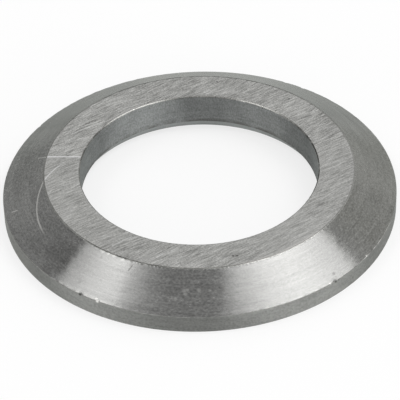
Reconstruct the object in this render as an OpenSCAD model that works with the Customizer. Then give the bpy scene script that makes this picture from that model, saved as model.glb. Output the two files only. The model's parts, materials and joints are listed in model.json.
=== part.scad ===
// Bearing shim: a steel ring turned in one piece.
// A flat ring with a straight rim, a cone that rises from the rim to a ground
// seating face, and a bore that is relieved at its lower edge.
// Millimetres. The origin is the centre of the base face, and +Z is the bore's axis.

/* [Ring] */
// Diameter of the straight rim
outer_d = 50; // [44:0.5:60]
// Height from the base face to the seating face
thickness = 5.4; // [4.6:0.1:8]
// Height of the straight rim, up to the foot of the cone
rim_h = 2.3; // [1.2:0.1:3.6]
// Outer diameter of the seating face, where the cone ends
face_d = 39.3; // [36:0.1:42]

/* [Bore] */
// Diameter of the shaft that the ring slides over
shaft_d = 30; // [26:0.5:33]
// Difference between the bore's diameter and the shaft's
bore_clearance = 0.2; // [0.05:0.05:0.5]
// Radial width of the relief at the bore's lower edge
relief_w = 1; // [0.4:0.1:2]
// Height of that relief, which clears the fillet at a shaft's shoulder
relief_h = 1.4; // [0.4:0.1:2.4]

/* [Edges] */
// Length taken off each side of a sharp edge when it was deburred
edge_break = 0.06; // [0.02:0.01:0.2]
// Length taken off each side of the bore's upper edge, which leads the shaft in
bore_break = 0.15; // [0.05:0.01:0.4]

/* [Hidden] */
$fn = 180;

outer_r = outer_d / 2;
face_r = face_d / 2;
bore_r = (shaft_d + bore_clearance) / 2;

// The corners of the ring's section, once round from the inner edge of the base
// face: each has its [radius, height] and the length that is taken off its sides
section_corners = [
    [[bore_r + relief_w, 0], edge_break],
    [[outer_r, 0], edge_break],
    [[outer_r, rim_h], edge_break],
    [[face_r, thickness], edge_break],
    [[bore_r, thickness], bore_break],
    [[bore_r, relief_h], edge_break],
];

// The point that lies a given length along the way from one point to another
function point_towards(from, to, length) = from + length * (to - from) / norm(to - from);

// The outline through the corners, with each corner cut back along both its sides
function broken_edges(corners) =
    let (last = len(corners) - 1)
    [
        for (i = [0:last])
        let (
            here = corners[i][0],
            length = corners[i][1],
            before = corners[i == 0 ? last : i - 1][0],
            after = corners[i == last ? 0 : i + 1][0]
        )
        each [point_towards(here, before, length), point_towards(here, after, length)]
    ];

// The whole shim: its section turned about the bore's axis
module shim_ring() {
    color([0.60, 0.60, 0.59])
        rotate_extrude()
            polygon(broken_edges(section_corners));
}

shim_ring();
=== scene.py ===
import json
import math

import bpy
import numpy as np
from mathutils import Matrix, Vector


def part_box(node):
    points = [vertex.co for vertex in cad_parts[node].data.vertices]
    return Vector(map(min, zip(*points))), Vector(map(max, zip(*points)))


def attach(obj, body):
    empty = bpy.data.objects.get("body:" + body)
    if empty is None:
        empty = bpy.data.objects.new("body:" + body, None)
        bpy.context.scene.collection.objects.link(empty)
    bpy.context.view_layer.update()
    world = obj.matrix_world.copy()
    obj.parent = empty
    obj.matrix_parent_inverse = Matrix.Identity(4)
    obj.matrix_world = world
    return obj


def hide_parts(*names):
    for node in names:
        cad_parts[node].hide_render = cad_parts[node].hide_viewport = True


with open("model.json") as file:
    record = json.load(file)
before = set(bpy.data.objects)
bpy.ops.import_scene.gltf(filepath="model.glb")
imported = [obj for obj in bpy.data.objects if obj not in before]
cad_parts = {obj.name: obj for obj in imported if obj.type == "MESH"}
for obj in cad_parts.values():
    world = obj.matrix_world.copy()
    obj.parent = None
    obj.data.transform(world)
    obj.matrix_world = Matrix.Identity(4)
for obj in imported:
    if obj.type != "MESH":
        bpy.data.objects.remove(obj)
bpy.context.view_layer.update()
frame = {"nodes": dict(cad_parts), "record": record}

MM = 0.001
RING = "shim_ring"
WHITE = "#ffffff"

# Camera, as fitted to the photograph's edges, with lengths in metres and angles in degrees
IMAGE_PX = 400
SENSOR_MM = 36.0
FOCAL_PX = 2346.5
CAMERA_DISTANCE = 300 * MM
CAMERA_ELEVATION = 38.88
CAMERA_ROLL = 1.71
CAMERA_TARGET = Vector((0.0, 0.0, 0.1 * MM))
NEAREST_SEEN = 1 * MM


# The ring's section

# Grid of the ring's surface: columns round the axis, rows along the section.
# Each side lists how far its rows lie from both its edges, in mm.
COLUMNS = 1440
ARC_ROWS = 4
SIDE_ROWS = {
    "base": (0.05,),
    "rim": (0.05, 0.13, 0.28, 0.6),
    "cone": (0.05, 0.13, 0.28, 0.6),
    "seat": (0.05, 0.13, 0.28, 0.6),
    "bore": (0.05, 0.3),
    "relief": (0.05,),
}
SIDES = tuple(SIDE_ROWS)
# The edge before each side
EDGES = ("base inner edge", "base outer edge", "rim edge", "face edge", "bore edge", "relief edge")
# Length over which wear has rounded the seating face's outer edge, on both its sides
FACE_ROUNDING_MM = 0.1
# Points of the solid that lie this near a face are on it
ON_FACE_MM = 0.001


def solid_points():
    """The vertices of the ring's solid, one row each."""
    vertices = frame["nodes"][RING].data.vertices
    flat = np.empty(3 * len(vertices), dtype=np.float32)
    vertices.foreach_get("co", flat)
    return flat.reshape(-1, 3).astype(float)


def section_corners():
    """The solid's section as sharp corners (radius, height), once round from the base's inner edge, and
    the length that each corner's edge takes off both its sides. All but the worn edge's length are read
    from the frame."""
    low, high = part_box(RING)
    bore = next(m for m in frame["record"]["mounts"] if m["name"] == "bore")
    bore_r = bore["dims"]["r_mm"] * MM
    wall_middle = bore["pos_m"][2]
    half_wall = bore["dims"]["length_mm"] * MM / 2
    points = solid_points()
    radii = np.hypot(points[:, 0], points[:, 1])
    near = ON_FACE_MM * MM
    on_seat = points[:, 2] > high.z - near
    on_base = points[:, 2] < low.z + near
    on_side = radii > high.x - near
    edge_break = high.x - radii[on_base].max()
    bore_break = high.z - (wall_middle + half_wall)
    corners = [
        (radii[on_base].min() - edge_break, low.z),
        (high.x, low.z),
        (high.x, points[on_side, 2].max() + edge_break),
        (radii[on_seat].max() + edge_break, high.z),
        (bore_r, high.z),
        (bore_r, wall_middle - half_wall - edge_break),
    ]
    breaks = [edge_break] * 3 + [FACE_ROUNDING_MM * MM, bore_break, edge_break]
    return np.array(corners), breaks


corners, breaks = section_corners()
BASE_EDGE, RIM_EDGE, FACE_EDGE, BORE_EDGE, RELIEF_EDGE = corners[1:]
CONE_MIDDLE = (RIM_EDGE + FACE_EDGE) / 2
RIM_MIDDLE = (BASE_EDGE + RIM_EDGE) / 2
CONE_TILT = math.degrees(math.atan2(FACE_EDGE[1] - RIM_EDGE[1], RIM_EDGE[0] - FACE_EDGE[0]))


def rounded_section(corners, breaks):
    """The closed section with each corner rounded by the arc that touches both its sides one edge
    break away: points (radius, height) and, for each, the side or edge that it starts."""
    points = []
    names = []
    count = len(corners)
    for i, edge_break in enumerate(breaks):
        before, here, after = corners[i - 1], corners[i], corners[(i + 1) % count]
        back = (before - here) / np.linalg.norm(before - here)
        on = (after - here) / np.linalg.norm(after - here)
        half_angle = math.acos(back @ on) / 2
        middle = here + (back + on) / np.linalg.norm(back + on) * edge_break / math.cos(half_angle)
        start = here + back * edge_break - middle
        end = here + on * edge_break - middle
        sweep = math.pi - 2 * half_angle
        t = np.linspace(0, 1, ARC_ROWS + 1)[:, None]
        arc_points = middle + (np.sin((1 - t) * sweep) * start + np.sin(t * sweep) * end) / math.sin(sweep)
        length = np.linalg.norm(after - here) - edge_break - breaks[(i + 1) % count]
        near = np.array(SIDE_ROWS[SIDES[i]]) * MM
        along = np.concatenate([near, length - near[::-1]])[:, None]
        points += [arc_points, arc_points[-1] + on * along]
        names += [EDGES[i]] * ARC_ROWS + [SIDES[i]] * (1 + len(along))
    return np.concatenate(points), names


# Wear of the edges, as small moves of the grid

# How each edge wavers: its reach across the edge, its shortest and longest wave and its depth in mm, and the
# seed of its waves
FACE_EDGE_WAVER = (0.15, (0.4, 1.5), 0.014, 1)
BORE_EDGE_WAVER = (0.2, (0.6, 3.0), 0.006, 2)
RIM_EDGE_WAVER = (0.15, (1.0, 4.0), 0.005, 3)
# Waves in a wavering edge. Slow waves raise and lower its depth: their number, the range of their counts
# round the ring, and the share that each changes
WAVES = 60
SWELLS = 5
SWELL_TURNS = (2, 9)
SWELL_SHARE = 0.3
# Dents in the rim's upper edge: angle round the ring, length round it, reach across it and depth in mm
RIM_DENTS = (
    (-36.4, 0.26, 0.20, 0.05),
    (-30.6, 0.24, 0.20, 0.04),
    (40.0, 0.28, 0.20, 0.05),
    (54.0, 0.15, 0.15, 0.04),
    (-123.5, 0.22, 0.25, 0.06),
    (151.3, 0.20, 0.20, 0.06),
    (145.3, 0.25, 0.20, 0.08),
)
# A dent goes in and down alike, each by this share of its depth
DENT_SLANT = 0.7


def ragged_line(angles, radius, waves_mm, depth_mm, seed):
    """A wavering line, once round the ring: a sum of cosines with whole numbers of waves, whose
    lengths lie between the two given, with seeded starts, under a slow swell of strength."""
    draw = np.random.default_rng(seed)
    turn_mm = 2 * math.pi * radius / MM
    waves = draw.integers(int(turn_mm / waves_mm[1]), int(turn_mm / waves_mm[0]), WAVES)
    starts = draw.uniform(0, 2 * math.pi, WAVES)
    line_sum = np.cos(np.outer(angles, waves) + starts).sum(axis=1)
    slow_waves = draw.integers(*SWELL_TURNS, SWELLS)
    slow_starts = draw.uniform(0, 2 * math.pi, SWELLS)
    swell = 1 + SWELL_SHARE * np.cos(np.outer(angles, slow_waves) + slow_starts).sum(axis=1)
    return depth_mm * MM * np.abs(swell) * line_sum / line_sum.std()


def follow(section, corner, reach_mm):
    """How far each row goes along when a corner moves: 1 at the corner, a bell curve over the reach."""
    gap = np.linalg.norm(section - corner, axis=1)
    return np.exp(-(gap / (reach_mm * MM)) ** 2)[:, None]


def waver(section, angles, corner, reach_mm, waves_mm, depth_mm, seed):
    """The move of each grid point by a wavering edge: its ragged line, as far as the row follows it."""
    return follow(section, corner, reach_mm) * ragged_line(angles, corner[0], waves_mm, depth_mm, seed)


def worn_grid(section, angles):
    """Radius and height over the grid. The face's edge and the bore's edge waver in radius, where the
    grinding marks ran out over them; the rim's edge wavers in height and has its dents, each a bell
    curve round the ring times one across it. Level rows so stay level and upright ones upright."""
    r = np.repeat(section[:, :1], len(angles), axis=1)
    z = np.repeat(section[:, 1:], len(angles), axis=1)
    r += waver(section, angles, FACE_EDGE, *FACE_EDGE_WAVER)
    r += waver(section, angles, BORE_EDGE, *BORE_EDGE_WAVER)
    z += waver(section, angles, RIM_EDGE, *RIM_EDGE_WAVER)
    for angle, length, reach, depth in RIM_DENTS:
        turn = np.angle(np.exp(1j * (angles - math.radians(angle))))
        bell = np.exp(-(turn * RIM_EDGE[0] / (length * MM)) ** 2) * follow(section, RIM_EDGE, reach)
        r -= DENT_SLANT * depth * MM * bell
        z -= DENT_SLANT * depth * MM * bell
    return r, z


def new_object(name, data):
    """An object in the scene that holds the data, at the origin."""
    made = bpy.data.objects.new(name, data)
    bpy.context.scene.collection.objects.link(made)
    return made


def ring_mesh(name, section, names, materials):
    """The section turned about Z: the point (r, z) at angle a lies at (r sin a, -r cos a, z), so angle 0
    is the front. The grid is closed both ways, so it has no seam and no pole."""
    angles = np.linspace(0, 2 * np.pi, COLUMNS, endpoint=False)
    r, z = worn_grid(section, angles)
    points = np.stack([r * np.sin(angles), -r * np.cos(angles), z], axis=-1).reshape(-1, 3)
    rows = len(section)
    i, j = np.meshgrid(np.arange(rows), np.arange(COLUMNS), indexing="ij")
    i_next = (i + 1) % rows
    j_next = (j + 1) % COLUMNS
    quads = np.stack([i * COLUMNS + j, i * COLUMNS + j_next,
                      i_next * COLUMNS + j_next, i_next * COLUMNS + j], axis=-1).reshape(-1, 4)
    mesh = bpy.data.meshes.new(name)
    mesh.from_pydata(points.tolist(), [], quads.tolist())
    mesh.polygons.foreach_set("use_smooth", np.ones(len(quads), dtype=bool))
    order = list(dict.fromkeys(materials.values()))
    for finish in order:
        mesh.materials.append(finish)
    slots = np.repeat([order.index(materials[n]) for n in names], COLUMNS)
    mesh.polygons.foreach_set("material_index", slots.astype(np.int32))
    mesh.update()
    return new_object(name, mesh)


# Colour and shader helpers

def linear(hex_colour):
    """The linear RGBA of an sRGB hex value, by the sRGB transfer curve."""
    shares = [int(hex_colour[i:i + 2], 16) / 255 for i in (1, 3, 5)]
    return [c / 12.92 if c <= 0.04045 else ((c + 0.055) / 1.055) ** 2.4 for c in shares] + [1.0]


def add(tree, kind, inputs=None, **settings):
    """Adds one node. Settings are its properties; inputs are its sockets by name, or by number where names
    repeat, each a plain value or another node's output."""
    made = tree.nodes.new(kind)
    for name, value in settings.items():
        setattr(made, name, value)
    for key, value in (inputs or {}).items():
        if isinstance(value, bpy.types.NodeSocket):
            tree.links.new(value, made.inputs[key])
        else:
            made.inputs[key].default_value = value
    return made


def empty_tree(owner):
    """The emptied node tree of a material, a lamp or a world."""
    owner.use_nodes = True
    owner.node_tree.nodes.clear()
    return owner.node_tree


def object_place(tree):
    """The place on the object, in mm."""
    place = add(tree, "ShaderNodeTexCoord").outputs["Object"]
    return add(tree, "ShaderNodeVectorMath", {0: place, "Scale": 1 / MM}, operation="SCALE").outputs[0]


def in_plan(tree, place_mm):
    """The place seen from above: its height is left out."""
    return add(tree, "ShaderNodeVectorMath", {0: place_mm, 1: (1.0, 1.0, 0.0)},
               operation="MULTIPLY").outputs[0]


def way_round(tree, place_mm):
    """The unit vector that points from the ring's axis to the place, seen from above."""
    return add(tree, "ShaderNodeVectorMath", {0: in_plan(tree, place_mm)},
               operation="NORMALIZE").outputs[0]


def axis_distance(tree, place_mm):
    """The place's radius about the ring's axis."""
    return add(tree, "ShaderNodeVectorMath", {0: in_plan(tree, place_mm)},
               operation="LENGTH").outputs["Value"]


def on_ring(angle, radius, height):
    """The point at an angle round the ring, 0 at the front and positive to the right, a radius and a
    height."""
    a = math.radians(angle)
    return (radius * math.sin(a), -radius * math.cos(a), height)


# Shapes of marks, each a mask from 0 to the mark's strength

# Share of a mark's size, width or sweep over which it is full, before it fades
SPOT_CORE = 0.4
LINE_CORE = 0.3
ARC_CORE = 0.75
SWATHE_CORE = 0.6
# Size of the gaps in a broken mark, and the noise below which it is gone
GAP_MM = 1.2
GONE_AT = 0.36
# Length over which a grinding mark that runs out over an edge fades
RUN_OUT_FADE_MM = 0.04


def spot(tree, place_mm, angle, radius, height, size, strength):
    """A round mark at a place on the ring, which fades with the distance from its middle."""
    gap = add(tree, "ShaderNodeVectorMath", {0: place_mm, 1: on_ring(angle, radius, height)},
              operation="DISTANCE")
    return add(tree, "ShaderNodeMapRange", {
        "Value": gap.outputs["Value"], "From Min": size, "From Max": SPOT_CORE * size,
        "To Max": strength}).outputs[0]


def line(tree, place_mm, start, end, width, strength):
    """A straight scratch, seen in plan: it fades with the distance to the nearest point of the line from
    start to end. With w the whole way and p the way to the place, that point is at w times p.w / w.w,
    held between 0 and 1."""
    whole = Vector((end[0] - start[0], end[1] - start[1], 0.0))
    way = add(tree, "ShaderNodeVectorMath", {0: in_plan(tree, place_mm), 1: (*start, 0.0)},
              operation="SUBTRACT")
    share = add(tree, "ShaderNodeVectorMath", {0: way.outputs[0], 1: whole / whole.length_squared},
                operation="DOT_PRODUCT")
    held = add(tree, "ShaderNodeMath", {0: share.outputs["Value"], 1: 0.0}, operation="ADD", use_clamp=True)
    nearest = add(tree, "ShaderNodeVectorMath", {0: whole, "Scale": held.outputs[0]}, operation="SCALE")
    gap = add(tree, "ShaderNodeVectorMath", {0: way.outputs[0], 1: nearest.outputs[0]}, operation="DISTANCE")
    return add(tree, "ShaderNodeMapRange", {
        "Value": gap.outputs["Value"], "From Min": width, "From Max": LINE_CORE * width,
        "To Max": strength}).outputs[0]


def arc(tree, place_mm, centre, radius, middle, half_sweep, width, strength):
    """A bent line on a circle, seen in plan: it fades with the distance from the circle, and towards both
    its ends, half a sweep from the middle angle."""
    way = add(tree, "ShaderNodeVectorMath", {0: in_plan(tree, place_mm), 1: (*centre, 0.0)},
              operation="SUBTRACT")
    reach = add(tree, "ShaderNodeVectorMath", {0: way.outputs[0]}, operation="LENGTH")
    gap = add(tree, "ShaderNodeMath", {0: reach.outputs["Value"], 1: radius}, operation="SUBTRACT")
    off = add(tree, "ShaderNodeMath", {0: gap.outputs[0]}, operation="ABSOLUTE")
    beside = add(tree, "ShaderNodeMapRange", {
        "Value": off.outputs[0], "From Min": width, "From Max": LINE_CORE * width, "To Max": strength})
    towards = add(tree, "ShaderNodeVectorMath", {0: way.outputs[0], 1: on_ring(middle, 1.0, 0.0)},
                  operation="DOT_PRODUCT")
    half = math.radians(half_sweep)
    along = add(tree, "ShaderNodeMapRange", {
        "Value": towards.outputs["Value"], "From Min": radius * math.cos(half),
        "From Max": radius * math.cos(ARC_CORE * half)})
    return add(tree, "ShaderNodeMath", {0: beside.outputs[0], 1: along.outputs[0]},
               operation="MULTIPLY").outputs[0]


def swathe(tree, place_mm, angle, half_sweep, strength):
    """A stretch of the ring, even about its angle, which fades towards both ends with the cosine of the
    angle from its middle."""
    near = add(tree, "ShaderNodeVectorMath", {0: way_round(tree, place_mm), 1: on_ring(angle, 1.0, 0.0)},
               operation="DOT_PRODUCT")
    half = math.radians(half_sweep)
    return add(tree, "ShaderNodeMapRange", {
        "Value": near.outputs["Value"], "From Min": math.cos(half),
        "From Max": math.cos(SWATHE_CORE * half), "To Max": strength}).outputs[0]


def broken_up(tree, place_mm, mask, detail, whole_at):
    """The mask with gaps: gone where noise lies below GONE_AT, and whole where it lies above whole_at."""
    noise = add(tree, "ShaderNodeTexNoise", {"Vector": place_mm, "Scale": 1 / GAP_MM, "Detail": detail})
    left = add(tree, "ShaderNodeMapRange", {
        "Value": noise.outputs["Fac"], "From Min": GONE_AT, "From Max": whole_at})
    return add(tree, "ShaderNodeMath", {0: mask, 1: left.outputs[0]}, operation="MULTIPLY").outputs[0]


def broken_swathe(tree, place_mm, angle, half_sweep, strength):
    """A swathe with gaps."""
    mask = swathe(tree, place_mm, angle, half_sweep, strength)
    return broken_up(tree, place_mm, mask, detail=1.0, whole_at=0.52)


def band(tree, place_mm, full, end, strength):
    """A level band with gaps, which fades from the height where it is full to the height where it ends."""
    height = add(tree, "ShaderNodeSeparateXYZ", {0: place_mm}).outputs["Z"]
    mask = add(tree, "ShaderNodeMapRange", {
        "Value": height, "From Min": end, "From Max": full, "To Max": strength})
    return broken_up(tree, place_mm, mask.outputs[0], detail=2.0, whole_at=0.6)


def run_out(tree, place_mm, edge, reach, strength):
    """The grinding marks that run out over an edge of some radius: a place is covered while it lies less far
    past the edge than the reach times the mark's height over the mean, in units of the marks' deviation."""
    past = add(tree, "ShaderNodeMath", {0: axis_distance(tree, place_mm), 1: edge}, operation="SUBTRACT")
    cover = add(tree, "ShaderNodeMapRange", {
        "Value": grinding_marks(tree, place_mm), "From Min": NOISE_MEAN,
        "From Max": NOISE_MEAN + GRINDING_DEVIATION, "To Max": reach}, clamp=False)
    room = add(tree, "ShaderNodeMath", {0: cover.outputs[0], 1: past.outputs[0]}, operation="SUBTRACT")
    return add(tree, "ShaderNodeMapRange", {
        "Value": room.outputs[0], "From Max": RUN_OUT_FADE_MM, "To Max": strength}).outputs[0]


def covered(tree, place_mm, shape, marks):
    """The mask of all marks of one shape: the strongest at each place."""
    mask = 0.0
    for mark in marks:
        one = shape(tree, place_mm, *mark)
        mask = add(tree, "ShaderNodeMath", {0: one, 1: mask}, operation="MAXIMUM").outputs[0]
    return mask


def stained(tree, place_mm, tone, stains):
    """The tone with marks laid over it in turn, each a shape, its list of marks and a colour."""
    for shape, marks, colour in stains:
        mask = covered(tree, place_mm, shape, marks)
        tone = add(tree, "ShaderNodeMix", {0: mask, 6: tone, 7: linear(colour)}, data_type="RGBA").outputs[2]
    return tone


# Marks that the ring has picked up, and painted light, shade and highlights, in mm and degrees round the
# ring, each ending with its strength

# Dark dirt, and also painted shade
GRIME_AND_SHADE = "#2c2b28"
# Brown oil low in the bore, and also painted shade on the bore's back wall
OIL_STAIN_AND_SHADE = "#4a4239"
# Painted olive-tinted light, on the cone's right side
PAINTED_OLIVE_LIGHT = "#888a6e"
# Bare steel of scratches, flecks, chips and nicks, and also painted light, highlights and glints
BARE_STEEL_AND_HIGHLIGHT = "#efeeea"
RUN_OUT_STEEL = "#bcbcb9"


def on_top(*marks):
    """Spots on the seat or the cone, each an angle, a radius, a size and a strength, with the height that
    the section has at that radius."""
    radii = FACE_EDGE[0] / MM, RIM_EDGE[0] / MM
    heights = FACE_EDGE[1] / MM, RIM_EDGE[1] / MM
    return [(angle, radius, np.interp(radius, radii, heights), size, strength)
            for angle, radius, size, strength in marks]


def on_rim_edge(*marks):
    """Spots at the rim's upper edge, each an angle, the way in from the edge, the way down from it, a size
    and a strength."""
    return [(angle, RIM_EDGE[0] / MM - inwards, RIM_EDGE[1] / MM - down, size, strength)
            for angle, inwards, down, size, strength in marks]


# Nicks full of dirt, and nicks of fresh steel
NICKS_DARK = on_top(
    (41.1, 24.22, 0.26, 0.4),
    (170.7, 21.90, 0.35, 0.4),
    (-173.2, 22.91, 0.28, 0.4),
    (-109.3, 21.87, 0.20, 0.5),
    (137.3, 20.99, 0.20, 0.4),
    (-36.4, 20.47, 0.22, 0.20),
    (-38.5, 23.83, 0.35, 0.14),
    (-30.3, 19.65, 0.16, 0.50),
) + on_rim_edge(
    (-36.4, 0.0, 0.06, 0.24, 0.85),
    (40.2, 0.0, 0.14, 0.22, 0.75),
    (41.3, 0.0, 0.10, 0.17, 0.5),
)
NICKS_BRIGHT = on_rim_edge(
    (-30.6, 0.04, 0.04, 0.26, 0.9),
    (-31.0, 0.16, -0.08, 0.26, 0.4),
    (38.2, 0.04, 0.0, 0.20, 0.3),
    (54.0, 0.08, -0.04, 0.15, 1.0),
)
# A dot in the bore, under its edge: angle, radius, height, size and strength
BORE_DOT = ((145.7, BORE_EDGE[0] / MM, BORE_EDGE[1] / MM - 0.25, 0.16, 0.6),)
# Small chips under the face's edge, and light flecks and dark smudges on the cone
FACE_CHIPS = on_top(
    (-28.8, 19.83, 0.34, 0.10),
    (-32.5, 19.76, 0.30, 0.12),
    (-34.8, 19.81, 0.28, 0.10),
    (-37.0, 19.83, 0.28, 0.12),
)
FLECKS = on_top(
    (-5.8, 22.07, 0.28, 0.22),
    (-4.7, 22.02, 0.26, 0.24),
    (-5.4, 22.40, 0.36, 0.20),
    (-8.2, 23.04, 0.28, 0.22),
    (-9.3, 23.00, 0.25, 0.16),
    (-1.1, 22.05, 0.32, 0.22),
    (2.2, 22.10, 0.26, 0.18),
    (4.0, 22.25, 0.28, 0.16),
)
SMUDGES = on_top(
    (-47.6, 21.4, 1.1, 0.26),
    (-47.2, 22.6, 1.1, 0.28),
    (-46.8, 23.6, 1.0, 0.24),
    (-52.0, 22.3, 2.2, 0.14),
    (-51.0, 24.6, 0.9, 0.20),
    (0.8, 22.4, 1.0, 0.12),
    (5.0, 22.2, 1.0, 0.16),
)
SEAT_PITS = on_top(
    (12.2, 17.90, 0.20, 0.75),
    (13.7, 18.03, 0.18, 0.7),
    (139.2, 18.46, 0.20, 0.75),
    (171.5, 18.45, 0.20, 0.6),
)

# Scratches: start and end in plan, width and strength
CONE_SCRATCH = (((-8.86, -18.83), (-8.39, -18.35), 0.09, 0.6),)
SEAT_SCRATCHES = (
    ((-10.84, -14.94), (-8.53, -13.33), 0.12, 0.35),
    ((-5.44, -17.35), (-4.65, -16.73), 0.14, 0.45),
    ((-16.24, 7.88), (-12.14, 10.26), 0.12, 0.30),
)
HAIRLINES = (
    ((-20.5, 3.75), (-19.5, 3.14), 0.11, 0.5),
    ((-19.5, 3.14), (-15.1, 2.92), 0.13, 1.0),
    ((-23.62, -4.69), (-22.95, -4.83), 0.11, 0.6),
)
# Bent lines: centre in plan, radius, middle angle, half the sweep, width and strength
AXIS = (0.0, 0.0)
HAIR_ARC = (((-9.6, -5.9), 10.78, -100, 38, 0.13, 0.6),)
# A painted highlight along the foot of the cone, in its left bright patch
CONE_FOOT_HIGHLIGHT = ((AXIS, RIM_EDGE[0] / MM - 0.2, -37, 10, 0.3, 0.05),)
# A painted highlight along the face's edge on the right, where the right softbox shows
FACE_SHINE = ((AXIS, FACE_EDGE[0] / MM, 31, 19, 0.6, 0.34),)

# Stretches of the ring: middle angle, half the sweep and strength
CONE_WIPED = ((30, 27, 0.55), (-33, 17, 0.4))
# Painted shade on the cone's back left and left
CONE_SHADE = ((-136, 25, 0.19), (-57, 12, 0.07))
# Painted light on the cone's right side, back and left
CONE_PAINTED_LIGHT = ((99, 24, 0.11), (64, 14, 0.04), (173, 28, 0.07), (-90, 20, 0.05), (-112, 9, 0.05))
# Painted olive-tinted light on the cone's right side
CONE_OLIVE_LIGHT = ((82, 36, 0.1),)
SEAT_WIPED = ((62, 52, 0.32), (-62, 46, 0.28), (0, 60, 0.2))
# Painted shade on the back of the seat
SEAT_SHADE = ((160, 62, 0.06),)
# Painted shade on both sides of the bore's back wall
BORE_PAINTED_SHADE = ((152, 44, 0.13), (-152, 42, 0.07))
# Painted light on the rim's left side
RIM_PAINTED_LIGHT = ((-70, 16, 0.08),)
# Painted highlights along the rim's edge, in front and on the right
RIM_GLINTS = ((-11, 8, 0.15), (57, 7, 0.5), (66, 6, 0.3))
# Painted light along the face's edge on the right
FACE_PAINTED_LIGHT = ((88, 34, 0.12),)
# Painted shade along the face's edge, left of the front and at the back
FACE_SHADE = ((-27, 20, 0.4), (180, 48, 0.65))
# Painted shade along the bore's edge on the right and on the left
BORE_SHADE = ((95, 32, 0.75), (-113, 16, 0.5))
# Painted highlights along the bore's edge at the back left and the back right
BORE_GLINTS = ((-146, 20, 0.35), (148, 14, 0.35))

# Bands: height where it is full, height where it ends and strength
BORE_GRIME = ((RELIEF_EDGE[1] / MM + 0.05, RELIEF_EDGE[1] / MM + 0.55, 0.45),)
# Painted shade on the lower part of the bore's rounded edge
BORE_LIP_SHADE = ((BORE_EDGE[1] / MM - 0.13, BORE_EDGE[1] / MM - 0.06, 0.6),)

# Grinding marks past the face's edge: radius of the edge, reach and strength
FACE_RUN_OUT = ((FACE_EDGE[0] / MM, 0.11, 0.75),)


# Finishes

# A turned pattern is lines and grit, each some layers: length round the ring and width across it in mm, and
# share. The last layer of grit is slow clouds, and all shares of a pattern add up to 1. Turning commonly
# leaves lines about 0.1 mm apart and finer grit, too fine to show in the render, so both are drawn coarser,
# the lines two to four times.
TURNING = {
    "lines": ((14.0, 0.40, 0.12), (6.0, 0.22, 0.12)),
    "grit": ((0.34, 0.27, 0.43), (0.9, 0.6, 0.06), (14.0, 6.0, 0.27)),
}
ROUGHING = {
    "lines": ((5.0, 0.35, 0.20),),
    "grit": ((0.25, 0.25, 0.55), (5.0, 5.0, 0.25)),
}
# Relief of a turned face: length round the ring, width across it and depth in mm
FEED_LINES = (3.0, 1.2, 0.02)
TOOL_MARKS = (0.35, 0.35, 0.008)
# The grinder's marks: way in degrees, length and width in mm, and share. The last two layers are grit and
# slow clouds. Such marks are commonly about 0.05 mm wide, too fine to show in the render, so they are drawn
# three or four times as wide.
GRINDING = (
    (30, 2.6, 0.21, 0.30),
    (41, 1.8, 0.14, 0.28),
    (35, 0.17, 0.17, 0.30),
    (35, 5.0, 5.0, 0.12),
)
# Depth of the marks' relief, and how far their pattern commonly lies from its mean
GRINDING_RELIEF_MM = 0.02
GRINDING_DEVIATION = 0.05
# How far the marks wander from straight, and over what length
WANDER_MM = 1.0
WANDER_LENGTH_MM = 9.0
# Mean of a noise texture, and how far from it a pattern reaches its darkest and lightest tone
NOISE_MEAN = 0.5
TURNED_REACH = 0.14
GROUND_REACH = 0.12
# How far grit moves the roughness of a turned face
ROUGHNESS_SWING = 0.065
# Colour of steel's reflection at a grazing angle
GRAZING_TINT = "#e9ece8"
# Turn of the tangent, as a share of a full one, that spreads highlights across the turning lines
ACROSS_LINES = 0.25
# Radius of the circle on which the turning lines are unrolled
LATHE_RADIUS_MM = CONE_MIDDLE[0] / MM


def noise_sum(tree, place, layers):
    """A sum of noise layers, each with three feature sizes in mm along the axes of the place and a share, by
    which it is multiplied."""
    total = 0.0
    for sizes, share in layers:
        scaled = add(tree, "ShaderNodeVectorMath", {0: place, 1: sizes}, operation="DIVIDE")
        noise = add(tree, "ShaderNodeTexNoise", {"Vector": scaled.outputs[0], "Scale": 1.0, "Detail": 2.0})
        total = add(tree, "ShaderNodeMath", {0: noise.outputs["Fac"], 1: share, 2: total},
                    operation="MULTIPLY_ADD").outputs[0]
    return total


def in_tones(tree, pattern, reach, tones):
    """The pattern as a colour, from the first tone at a reach below the noise's mean to the second at a
    reach above it."""
    shade = add(tree, "ShaderNodeMapRange", {
        "Value": pattern, "From Min": NOISE_MEAN - reach, "From Max": NOISE_MEAN + reach})
    return add(tree, "ShaderNodeMix", {0: shade.outputs[0], 6: linear(tones[0]), 7: linear(tones[1])},
               data_type="RGBA").outputs[2]


def on_lathe(tree, place_mm):
    """The place as turning lines have it: the direction round the ring, on a circle of one radius, and above
    that the radius less the height, which grows across the lines of every turned face."""
    unrolled = add(tree, "ShaderNodeVectorMath", {0: way_round(tree, place_mm), "Scale": LATHE_RADIUS_MM},
                   operation="SCALE")
    height = add(tree, "ShaderNodeSeparateXYZ", {0: place_mm}).outputs["Z"]
    across = add(tree, "ShaderNodeMath", {0: axis_distance(tree, place_mm), 1: height}, operation="SUBTRACT")
    lift = add(tree, "ShaderNodeCombineXYZ", {"Z": across.outputs[0]})
    return add(tree, "ShaderNodeVectorMath", {0: unrolled.outputs[0], 1: lift.outputs[0]},
               operation="ADD").outputs[0]


def turned_part(tree, lathe, layers, clean):
    """The lines or the grit of a turned pattern and its share of the whole: a sum of noise, drawn towards
    its mean as far as the surface is clean."""
    part = noise_sum(tree, lathe, [((length, length, width), share) for length, width, share in layers])
    whole_share = sum(share for _, _, share in layers)
    calm = add(tree, "ShaderNodeMix", {0: clean, 2: part, 3: whole_share * NOISE_MEAN})
    return calm.outputs[0], whole_share


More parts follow.
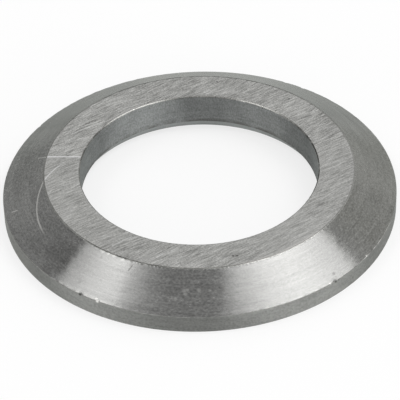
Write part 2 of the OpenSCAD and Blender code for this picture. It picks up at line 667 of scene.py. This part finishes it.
def turned_steel(name, tones, roughness, anisotropy, pattern, relief, stains=(), wiped=()):
    """Carbon steel turned on a lathe: fine rings round the axis spread each highlight across them and leave
    it sharp along them. Lighter grit is rougher, so it shows in the shade and fades in a highlight, where
    the lines stay. Both are calmer where the surface is wiped."""
    material = bpy.data.materials.new(name)
    tree = empty_tree(material)
    place_mm = object_place(tree)
    lathe = on_lathe(tree, place_mm)
    clean = covered(tree, place_mm, swathe, wiped)
    lines, _ = turned_part(tree, lathe, pattern["lines"], clean)
    grit, grit_share = turned_part(tree, lathe, pattern["grit"], clean)
    total = add(tree, "ShaderNodeMath", {0: lines, 1: grit}, operation="ADD")
    tone = in_tones(tree, total.outputs[0], TURNED_REACH, tones)
    tone = stained(tree, place_mm, tone, stains)
    rough = add(tree, "ShaderNodeMapRange", {
        "Value": grit, "From Min": (NOISE_MEAN - TURNED_REACH) * grit_share,
        "From Max": (NOISE_MEAN + TURNED_REACH) * grit_share,
        "To Min": roughness - ROUGHNESS_SWING, "To Max": roughness + ROUGHNESS_SWING})
    length, width, depth = relief
    waves = noise_sum(tree, lathe, [((length, length, width), 1.0)])
    bump = add(tree, "ShaderNodeBump", {"Height": waves, "Strength": 1.0, "Distance": depth * MM})
    tangent = add(tree, "ShaderNodeTangent", direction_type="RADIAL", axis="Z")
    surface = add(tree, "ShaderNodeBsdfPrincipled", {
        "Base Color": tone, "Metallic": 1.0, "Roughness": rough.outputs[0],
        "Specular Tint": linear(GRAZING_TINT), "Anisotropic": anisotropy,
        "Anisotropic Rotation": ACROSS_LINES, "Tangent": tangent.outputs[0], "Normal": bump.outputs[0]})
    add(tree, "ShaderNodeOutputMaterial", {"Surface": surface.outputs[0]})
    return material


def grinding_marks(tree, place_mm):
    """The grinder's marks: noise drawn out along two ways that cross at a small angle, on a place that
    wanders a little, with fine grit and slow clouds."""
    slow = add(tree, "ShaderNodeTexNoise", {
        "Vector": place_mm, "Scale": 1 / WANDER_LENGTH_MM, "Detail": 1.0})
    bend = add(tree, "ShaderNodeVectorMath", {0: slow.outputs["Color"], 1: (NOISE_MEAN,) * 3},
               operation="SUBTRACT")
    moved = add(tree, "ShaderNodeVectorMath", {0: bend.outputs[0], 1: (WANDER_MM,) * 3, 2: place_mm},
                operation="MULTIPLY_ADD")
    total = 0.0
    for angle, length, width, share in GRINDING:
        turned = add(tree, "ShaderNodeMapping", {
            "Vector": moved.outputs[0], "Rotation": (0, 0, math.radians(-angle))})
        marks = noise_sum(tree, turned.outputs[0], [((length, width, length), 1.0)])
        total = add(tree, "ShaderNodeMath", {0: marks, 1: share, 2: total},
                    operation="MULTIPLY_ADD").outputs[0]
    return total


def ground_steel(name, tones, roughness, stains, wiped):
    """Steel faced on a grinder: short, nearly straight marks, all about one way, which catch the light in
    streaks. They are calmer where the face is wiped."""
    material = bpy.data.materials.new(name)
    tree = empty_tree(material)
    place_mm = object_place(tree)
    clean = covered(tree, place_mm, swathe, wiped)
    marks = grinding_marks(tree, place_mm)
    marks = add(tree, "ShaderNodeMix", {0: clean, 2: marks, 3: NOISE_MEAN}).outputs[0]
    tone = in_tones(tree, marks, GROUND_REACH, tones)
    tone = stained(tree, place_mm, tone, stains)
    bump = add(tree, "ShaderNodeBump", {
        "Height": marks, "Strength": 1.0, "Distance": GRINDING_RELIEF_MM * MM})
    surface = add(tree, "ShaderNodeBsdfPrincipled", {
        "Base Color": tone, "Metallic": 1.0, "Roughness": roughness, "Normal": bump.outputs[0]})
    add(tree, "ShaderNodeOutputMaterial", {"Surface": surface.outputs[0]})
    return material


NICKS = ((spot, NICKS_DARK, GRIME_AND_SHADE), (spot, NICKS_BRIGHT, BARE_STEEL_AND_HIGHLIGHT))

# Fine turning, on the cone: highlights are drawn out along the slant and end sharply round the ring, so
# bright patches with clear sides stand between dark, gritty stretches. Painted shade, painted light, painted
# olive-tinted light and a painted highlight at the cone's foot lie over it, besides real dirt and wear
cone_steel = turned_steel(
    "turned carbon steel", tones=("#666665", "#a6a6a4"), roughness=0.21, anisotropy=1.0,
    pattern=TURNING, relief=FEED_LINES, wiped=CONE_WIPED, stains=(
        (run_out, FACE_RUN_OUT, RUN_OUT_STEEL),
        (swathe, CONE_SHADE, GRIME_AND_SHADE),
        (swathe, CONE_PAINTED_LIGHT, BARE_STEEL_AND_HIGHLIGHT),
        (swathe, CONE_OLIVE_LIGHT, PAINTED_OLIVE_LIGHT),
        (spot, SMUDGES, GRIME_AND_SHADE),
        (spot, FLECKS, BARE_STEEL_AND_HIGHLIGHT),
        (spot, FACE_CHIPS, BARE_STEEL_AND_HIGHLIGHT),
        (arc, CONE_FOOT_HIGHLIGHT, BARE_STEEL_AND_HIGHLIGHT),
        (line, CONE_SCRATCH, GRIME_AND_SHADE),
        (line, HAIRLINES, BARE_STEEL_AND_HIGHLIGHT),
        (arc, HAIR_ARC, BARE_STEEL_AND_HIGHLIGHT),
        *NICKS,
    ))

# Rougher turning, on the rim: an even, dull grey with no clear highlight, and painted light on its left side
rim_steel = turned_steel(
    "rough-turned carbon steel", tones=("#868784", "#acadaa"), roughness=0.55, anisotropy=1.0,
    pattern=ROUGHING, relief=TOOL_MARKS, stains=(
        (swathe, RIM_PAINTED_LIGHT, BARE_STEEL_AND_HIGHLIGHT),
        *NICKS,
    ))

# Boring, inside: as dull as the rim, a little cooler, with brownish oil that has gathered low on the wall,
# and painted shade on both sides of the back wall
bore_steel = turned_steel(
    "bored carbon steel", tones=("#7d807f", "#aeb1b0"), roughness=0.58, anisotropy=1.0,
    pattern=ROUGHING, relief=TOOL_MARKS, stains=(
        (band, BORE_GRIME, OIL_STAIN_AND_SHADE),
        (swathe, BORE_PAINTED_SHADE, OIL_STAIN_AND_SHADE),
        (spot, BORE_DOT, GRIME_AND_SHADE),
    ))

# The relief under the bore: bored as the wall is, but a little smoother and clean
relief_steel = turned_steel(
    "bored relief, carbon steel", tones=("#808382", "#a4a7a6"), roughness=0.45, anisotropy=1.0,
    pattern=ROUGHING, relief=TOOL_MARKS)

# Deburred edges: rubbed round, with no lines of their own to draw a highlight out, so each glints as a thin
# even line. Painted highlights brighten some stretches of it and painted shade darkens others, besides the
# real nicks and chips on the rim's and the face's edges
rim_edge_steel = turned_steel(
    "deburred rim edge, carbon steel", tones=("#7c7c79", "#989895"), roughness=0.4, anisotropy=0.0,
    pattern=ROUGHING, relief=TOOL_MARKS, stains=(
        (broken_swathe, RIM_GLINTS, BARE_STEEL_AND_HIGHLIGHT),
        *NICKS,
    ))
face_edge_steel = turned_steel(
    "deburred face edge, carbon steel", tones=("#747471", "#9c9c99"), roughness=0.45, anisotropy=0.0,
    pattern=ROUGHING, relief=TOOL_MARKS, stains=(
        (broken_swathe, FACE_SHADE, GRIME_AND_SHADE),
        (swathe, FACE_PAINTED_LIGHT, BARE_STEEL_AND_HIGHLIGHT),
        (arc, FACE_SHINE, BARE_STEEL_AND_HIGHLIGHT),
        (spot, FACE_CHIPS, BARE_STEEL_AND_HIGHLIGHT),
        *NICKS,
    ))
bore_edge_steel = turned_steel(
    "deburred bore edge, carbon steel", tones=("#80807d", "#a0a09c"), roughness=0.3, anisotropy=0.0,
    pattern=ROUGHING, relief=TOOL_MARKS, stains=(
        (swathe, BORE_GLINTS, BARE_STEEL_AND_HIGHLIGHT),
        (broken_swathe, BORE_SHADE, GRIME_AND_SHADE),
        (band, BORE_LIP_SHADE, GRIME_AND_SHADE),
    ))

# Surface grinding, on both flat faces: pale and silky, with light and dark streaks all about one way;
# painted shade at the back of the seat and a painted highlight at its outer edge on the right
flat_steel = ground_steel(
    "surface-ground carbon steel", tones=("#7a7a77", "#ebebe8"), roughness=0.4,
    wiped=SEAT_WIPED, stains=(
        (swathe, SEAT_SHADE, GRIME_AND_SHADE),
        (arc, FACE_SHINE, BARE_STEEL_AND_HIGHLIGHT),
        (spot, SEAT_PITS, GRIME_AND_SHADE),
        (line, SEAT_SCRATCHES, WHITE),
        (line, HAIRLINES, WHITE),
        (arc, HAIR_ARC, WHITE),
    ))


# The ring

section, names = rounded_section(corners, breaks)
ring = ring_mesh("shim_ring_finished", section, names, {
    "base": flat_steel,
    "rim": rim_steel,
    "cone": cone_steel,
    "seat": flat_steel,
    "bore": bore_steel,
    "relief": relief_steel,
    "base inner edge": relief_steel,
    "base outer edge": rim_steel,
    "rim edge": rim_edge_steel,
    "face edge": face_edge_steel,
    "bore edge": bore_edge_steel,
    "relief edge": bore_steel,
})
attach(ring, "root")
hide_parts(RING)


# Table, lights and camera

# Colour of the table, half its width and the height of its top in metres
TABLE_WHITE = "#fcfcfc"
TABLE_HALF_WIDTH = 1.5
TABLE_HEIGHT = -0.01 * MM
# Share of the table's own shading that shows, which holds the ring's shadow
SHADOW_SHARE = 0.28
# Strength of the room's light at the left and the right, its share at the horizon, and the height on a
# sphere of radius 1 at which it is whole
ROOM_LEFT = 0.47
ROOM_RIGHT = 0.78
HORIZON_SHARE = 0.45
LOW_SKY = 0.15
# Lamps: distance and depth in metres, the tilt of a surface that mirrors the low ones, and, for each lamp,
# the share of its radiance that shows at each angle round the ring
LAMP_DISTANCE = 0.8
LAMP_DEPTH = 0.2
FILL_TILT = 62
SOFTBOX_RIGHT = {7: 0.13, 14: 0.5, 22: 0.9, 29: 1.0, 35: 0.85, 40: 0.66, 49.6: 0.43}
SOFTBOX_LEFT = {-45.2: 0.36, -40: 0.53, -35: 0.84, -30: 1.0, -26: 0.92, -24: 0.55, -18: 0.17, -12: 0.0}
FILL_RIGHT = {8: 0.6, 22: 1.0, 42: 0.4}
FILL_LEFT = {-48: 0.5, -30: 1.0, -14: 0.5}
# Half the change of tilt over which a highlight's spread is measured, in degrees
TILT_STEP = 1


def table_top():
    """A square white table top just under the ring's base. What the camera and the metal see of it is
    plain white with a share of its lit surface, which holds the ring's shadow."""
    material = bpy.data.materials.new("matt white table")
    tree = empty_tree(material)
    lit = add(tree, "ShaderNodeBsdfDiffuse", {"Color": linear(TABLE_WHITE)})
    plain = add(tree, "ShaderNodeEmission", {"Color": linear(WHITE), "Strength": 1.0})
    path = add(tree, "ShaderNodeLightPath")
    seen = path.outputs["Is Camera Ray"]
    for kind in ("Is Glossy Ray", "Is Transmission Ray"):
        seen = add(tree, "ShaderNodeMath", {0: seen, 1: path.outputs[kind]}, operation="MAXIMUM").outputs[0]
    share = add(tree, "ShaderNodeMath", {0: seen, 1: 1 - SHADOW_SHARE}, operation="MULTIPLY")
    mix = add(tree, "ShaderNodeMixShader", {0: share.outputs[0], 1: lit.outputs[0], 2: plain.outputs[0]})
    add(tree, "ShaderNodeOutputMaterial", {"Surface": mix.outputs[0]})
    mesh = bpy.data.meshes.new("table_top")
    w = TABLE_HALF_WIDTH
    corners_xy = ((-w, -w), (w, -w), (w, w), (-w, w))
    mesh.from_pydata([(x, y, TABLE_HEIGHT) for x, y in corners_xy], [], [(0, 1, 2, 3)])
    mesh.materials.append(material)
    table = new_object("table_top", mesh)


def direction(azimuth, elevation):
    """The unit vector at an azimuth from the camera's side, positive to the right, and an elevation."""
    a = math.radians(azimuth)
    e = math.radians(elevation)
    return Vector((math.sin(a) * math.cos(e), -math.cos(a) * math.cos(e), math.sin(e)))


CAMERA_WAY = direction(0, CAMERA_ELEVATION)
CAMERA_PLACE = CAMERA_TARGET + CAMERA_WAY * CAMERA_DISTANCE


def mirrored(angle, tilt, at):
    """The line of sight after the ring mirrors it: the place at an angle round the ring, at a (radius,
    height), and the way v turns to there, 2 (n.v) n - v, on a surface whose normal n is tilted
    from straight up towards that angle."""
    place = Vector(on_ring(angle, *at))
    normal = direction(angle, 90 - tilt)
    view = (CAMERA_PLACE - place).normalized()
    return place, 2 * normal.dot(view) * normal - view


def grey(share):
    """A grey with a share of full white."""
    return (share, share, share, 1.0)


def softbox(name, shares, tilt, at, radiance):
    """A rectangular area lamp that the camera sees mirrored on surfaces of one tilt between the first and
    the last of some angles round the ring, with a share of its radiance at each angle. Its length runs from
    the first line of sight to the last, and its depth the way that turning lines spread a highlight."""
    angles = list(shares)
    middle = (angles[0] + angles[-1]) / 2
    _, z = mirrored(middle, tilt, at)
    spread = mirrored(middle, tilt + TILT_STEP, at)[1] - mirrored(middle, tilt - TILT_STEP, at)[1]
    x = (spread - spread.dot(z) * z).normalized()
    y = z.cross(x)
    hits = []
    for angle in angles:
        place, way = mirrored(angle, tilt, at)
        hits.append(place + way * (LAMP_DISTANCE - place.dot(z)) / way.dot(z))
    runs = [hit.dot(y) for hit in hits]
    low, high = min(runs), max(runs)
    lamp = bpy.data.lights.new(name, "AREA")
    lamp.shape = "RECTANGLE"
    lamp.size = LAMP_DEPTH
    lamp.size_y = high - low
    lamp.energy = radiance * lamp.size * lamp.size_y * math.pi
    tree = empty_tree(lamp)
    along = add(tree, "ShaderNodeSeparateXYZ", {0: add(tree, "ShaderNodeNewGeometry").outputs["Parametric"]})
    fall = add(tree, "ShaderNodeValToRGB", {0: along.outputs["Y"]})
    stops = sorted(((run - low) / (high - low), share) for run, share in zip(runs, shares.values()))
    ramp = fall.color_ramp.elements
    ramp.remove(ramp[0])
    ramp[0].position = stops[0][0]
    ramp[0].color = grey(stops[0][1])
    for position, share in stops[1:]:
        ramp.new(position).color = grey(share)
    glow = add(tree, "ShaderNodeEmission", {"Color": fall.outputs[0], "Strength": 1.0})
    add(tree, "ShaderNodeOutputLight", {"Surface": glow.outputs[0]})
    turn = Matrix((x, y, z)).transposed().to_4x4()
    new_object(name, lamp).matrix_world = Matrix.Translation((hits[0] + hits[-1]) / 2) @ turn


def add_camera():
    """A long-lens camera in front of the ring, rolled a little as the photograph is."""
    lens = bpy.data.cameras.new("camera")
    lens.sensor_width = SENSOR_MM
    lens.lens = FOCAL_PX / IMAGE_PX * SENSOR_MM
    lens.dof.use_dof = False
    lens.clip_start = NEAREST_SEEN
    aim = CAMERA_WAY.to_track_quat("Z", "Y").to_matrix().to_4x4()
    roll = Matrix.Rotation(math.radians(-CAMERA_ROLL), 4, "Z")
    camera = new_object("camera", lens)
    camera.matrix_world = Matrix.Translation(CAMERA_PLACE) @ aim @ roll
    bpy.context.scene.camera = camera


def add_world():
    """A pale room, whose strength rises evenly from the left to the right, and from a share of that at the
    horizon to the whole of it a little way up."""
    world = bpy.data.worlds.new("pale room")
    tree = empty_tree(world)
    way = add(tree, "ShaderNodeSeparateXYZ", {0: add(tree, "ShaderNodeTexCoord").outputs["Generated"]})
    strength = add(tree, "ShaderNodeMapRange", {
        "Value": way.outputs["X"], "From Min": -1.0, "From Max": 1.0,
        "To Min": ROOM_LEFT, "To Max": ROOM_RIGHT})
    rise = add(tree, "ShaderNodeMapRange", {
        "Value": way.outputs["Z"], "From Max": LOW_SKY, "To Min": HORIZON_SHARE, "To Max": 1.0})
    level = add(tree, "ShaderNodeMath", {0: strength.outputs[0], 1: rise.outputs[0]}, operation="MULTIPLY")
    sky = add(tree, "ShaderNodeBackground", {"Color": linear(WHITE), "Strength": level.outputs[0]})
    add(tree, "ShaderNodeOutputWorld", {"Surface": sky.outputs[0]})
    bpy.context.scene.world = world


table_top()
add_world()
softbox("softbox right", SOFTBOX_RIGHT, CONE_TILT, CONE_MIDDLE, radiance=6.3)
softbox("softbox left", SOFTBOX_LEFT, CONE_TILT, CONE_MIDDLE, radiance=4.5)
softbox("low fill right", FILL_RIGHT, FILL_TILT, RIM_MIDDLE, radiance=3.7)
softbox("low fill left", FILL_LEFT, FILL_TILT, RIM_MIDDLE, radiance=2.8)
add_camera()

bpy.context.scene.view_settings.view_transform = "Standard"
